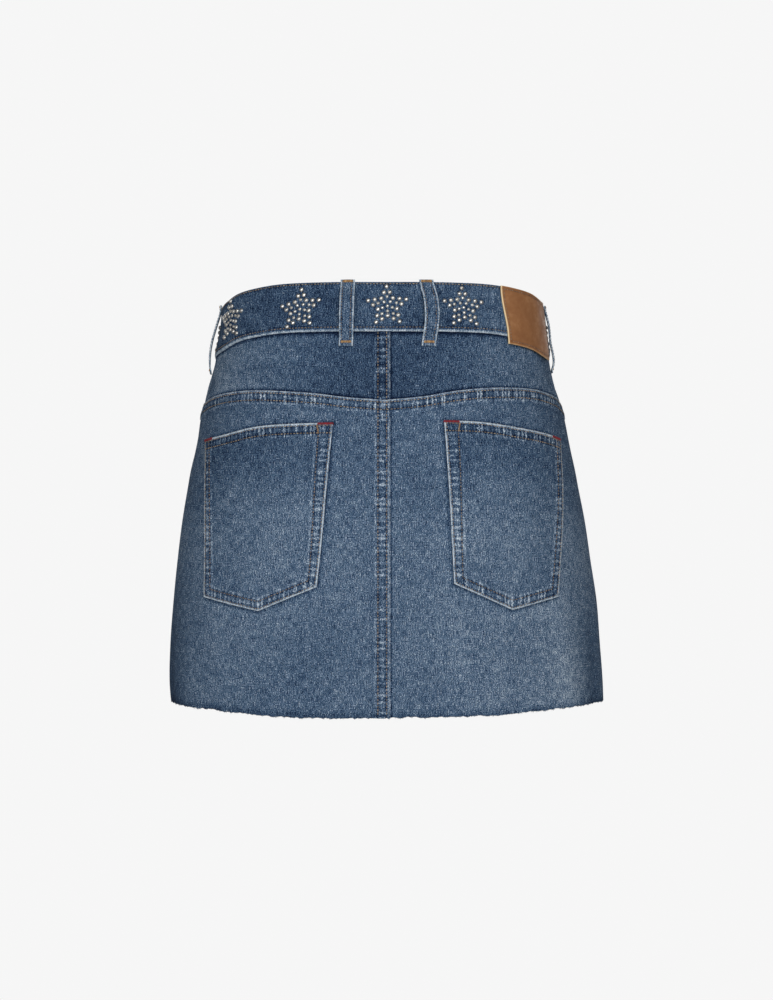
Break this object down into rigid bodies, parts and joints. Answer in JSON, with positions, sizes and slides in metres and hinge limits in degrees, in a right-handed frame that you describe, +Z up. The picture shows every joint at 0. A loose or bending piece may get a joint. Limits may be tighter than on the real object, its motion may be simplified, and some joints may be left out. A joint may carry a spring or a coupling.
{
  "type": "denim skirt",
  "caption": "Short flared denim skirt, filled out and hollow, with a lapped waistband, back yoke, patch pockets, belt loops and a raw hem.",
  "frame": {"origin": "the middle of the waist opening, level with the waistband's top edge at the sides, where the wearer's waist holds it", "axes": "+Z up out of the waist, +Y towards the skirt's back, +X towards the wearer's left"},
  "size_m": [0.3851, 0.2549, 0.37],
  "materials": {
    "denim": "washed mid-blue cotton denim with an upright slub and pale worn edges",
    "brown_leather": "smooth tan-brown leather with a pale cut edge",
    "zip_tape": "dark blue woven tape with closed metal teeth",
    "silver_metal": "polished silver-coloured metal",
    "thread": "golden-brown topstitching thread",
    "red_thread": "red bar-tack thread"
  },
  "bodies": {
    "root": {"waistband": "denim", "back_yoke_left": "denim", "back_yoke_right": "denim", "back_panel_left": "denim", "back_panel_right": "denim", "front_panel_left": "denim", "front_panel_right": "denim", "back_pocket_left": "denim", "back_pocket_right": "denim", "belt_loop_back_left": "denim", "belt_loop_back_right": "denim", "belt_loop_side_left": "denim", "belt_loop_side_right": "denim", "belt_loop_front_left": "denim", "belt_loop_front_right": "denim", "waist_patch": "brown_leather", "fly_zip": "zip_tape", "waist_button": "silver_metal"}
  },
  "joints": []
}
